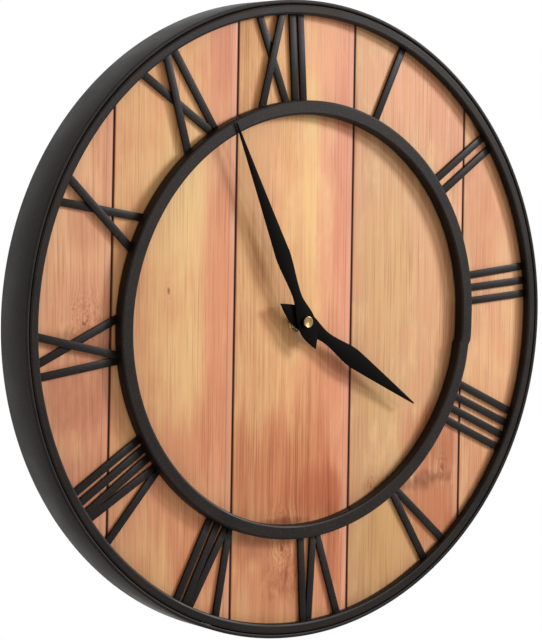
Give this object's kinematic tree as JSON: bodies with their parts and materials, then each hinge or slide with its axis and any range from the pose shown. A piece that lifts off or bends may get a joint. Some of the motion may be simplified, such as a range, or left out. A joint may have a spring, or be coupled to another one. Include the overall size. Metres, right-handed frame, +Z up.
{
  "type": "round wall clock",
  "caption": "Round wall clock with a deep black iron hoop, inner ring, Roman numerals of flat bar, a wooden plank face, leaf hands and a battery quartz movement.",
  "frame": {"origin": "the nail's axis at the top of the keyhole slot, in the wall's plane", "axes": "+Y into the wall, -Y out of the dial towards the viewer, +Z up, +X to the viewer's right"},
  "size_m": [0.4, 0.0363, 0.4],
  "materials": {
    "black_iron": "satin black powder coat, slightly grainy",
    "black_hands": "thin sheet, painted matte black",
    "brass": "turned, lightly polished",
    "zinc_steel": "zinc plated sheet",
    "pale_plank": "warm tan pine, matte varnish",
    "pink_plank": "pinkish tan pine, matte varnish",
    "hardboard": "raw brown hardboard",
    "case_plastic": "fine spark texture",
    "wheel_plastic": "natural acetal",
    "rubber": "matte",
    "copper_wire": "enamelled copper winding",
    "circuit_green": "solder resist",
    "cell_jacket": "plain printed foil, no text"
  },
  "bodies": {
    "frame": {"rim_band": "black_iron", "front_ring": "black_iron", "inner_ring": "black_iron", "numeral_01": "black_iron", "numeral_02_piece_1": "black_iron", "numeral_02_piece_2": "black_iron", "numeral_03_piece_1": "black_iron", "numeral_03_piece_2": "black_iron", "numeral_03_piece_3": "black_iron", "numeral_04_piece_1": "black_iron", "numeral_04_piece_2": "black_iron", "numeral_04_piece_3": "black_iron", "numeral_04_piece_4": "black_iron", "numeral_05": "black_iron", "numeral_06": "black_iron", "numeral_07_piece_1": "black_iron", "numeral_07_piece_2": "black_iron", "numeral_08_piece_1": "black_iron", "numeral_08_piece_2": "black_iron", "numeral_08_piece_3": "black_iron", "numeral_09": "black_iron", "numeral_10": "black_iron", "numeral_11": "black_iron", "numeral_12_piece_1": "black_iron", "numeral_12_piece_2": "black_iron", "numeral_12_piece_3": "black_iron", "hanger_plate": "zinc_steel", "retaining_ring": "zinc_steel", "plank_1": "pink_plank", "plank_2": "pale_plank", "plank_3": "pink_plank", "plank_4": "pale_plank", "plank_5": "pink_plank", "backing_board": "hardboard", "movement_case": "case_plastic", "movement_cover": "case_plastic", "contact_plus": "zinc_steel", "contact_minus": "zinc_steel", "threaded_bushing": "brass", "rubber_washer": "rubber", "clamp_washer": "brass", "hex_nut": "brass", "stator": "zinc_steel", "coil_bobbin": "wheel_plastic", "coil_winding": "copper_wire", "circuit_board": "circuit_green"},
    "minute_arbor": {"minute_shaft": "brass", "minute_hand": "black_hands", "minute_nut": "brass"},
    "hour_arbor": {"hour_wheel": "wheel_plastic", "hour_collet": "brass", "hour_hand": "black_hands"},
    "minute_wheel_arbor": {"minute_wheel": "wheel_plastic"},
    "setting_knob_arbor": {"setting_knob": "case_plastic"},
    "centre_wheel_body": {"centre_wheel": "wheel_plastic"},
    "third_wheel_arbor": {"third_wheel": "wheel_plastic"},
    "seconds_wheel_arbor": {"seconds_wheel": "wheel_plastic"},
    "intermediate_wheel_arbor": {"intermediate_wheel": "wheel_plastic"},
    "rotor_arbor": {"rotor": "zinc_steel"},
    "cell": {"battery_cell": "cell_jacket"}
  },
  "joints": [
    {"name": "minute_turn", "type": "hinge", "parent": "frame", "child": "minute_arbor", "pos_m": [0, -0.02, -0.176], "axis": [0, 1, 0], "continuous": true},
    {"name": "hour_turn", "type": "hinge", "parent": "frame", "child": "hour_arbor", "pos_m": [0, -0.02, -0.176], "axis": [0, 1, 0], "continuous": true},
    {"name": "minute_wheel_turn", "type": "hinge", "parent": "frame", "child": "minute_wheel_arbor", "pos_m": [0.00563, -0.01, -0.1654], "axis": [0, 1, 0], "continuous": true},
    {"name": "setting_knob_turn", "type": "hinge", "parent": "frame", "child": "setting_knob_arbor", "pos_m": [0.01752, -0.01, -0.16373], "axis": [0, 1, 0], "continuous": true},
    {"name": "rotor_turn", "type": "hinge", "parent": "frame", "child": "rotor_arbor", "pos_m": [-0.01656, -0.006, -0.17939], "axis": [0, 1, 0], "continuous": true},
    {"name": "intermediate_wheel_turn", "type": "hinge", "parent": "frame", "child": "intermediate_wheel_arbor", "pos_m": [-0.00943, -0.008, -0.1804], "axis": [0, 1, 0], "continuous": true},
    {"name": "seconds_wheel_turn", "type": "hinge", "parent": "frame", "child": "seconds_wheel_arbor", "pos_m": [0, -0.008, -0.176], "axis": [0, 1, 0], "continuous": true},
    {"name": "third_wheel_turn", "type": "hinge", "parent": "frame", "child": "third_wheel_arbor", "pos_m": [-0.00883, -0.01, -0.1709], "axis": [0, 1, 0], "continuous": true},
    {"name": "centre_wheel_turn", "type": "hinge", "parent": "frame", "child": "centre_wheel_body", "pos_m": [0, -0.0115, -0.176], "axis": [0, 1, 0], "continuous": true},
    {"name": "cell_slide", "type": "slide", "parent": "frame", "child": "cell", "axis": [0, 1, 0], "range_m": [0, 0.016]}
  ],
  "couplings": [
    {"joint": "hour_turn", "follows": "minute_turn", "ratio": 0.083333},
    {"joint": "minute_wheel_turn", "follows": "minute_turn", "ratio": -0.33333},
    {"joint": "setting_knob_turn", "follows": "minute_turn", "ratio": 1},
    {"joint": "intermediate_wheel_turn", "follows": "rotor_turn", "ratio": -0.2},
    {"joint": "seconds_wheel_turn", "follows": "rotor_turn", "ratio": 0.033333},
    {"joint": "third_wheel_turn", "follows": "rotor_turn", "ratio": -0.0044444},
    {"joint": "centre_wheel_turn", "follows": "rotor_turn", "ratio": 0.00055556}
  ]
}
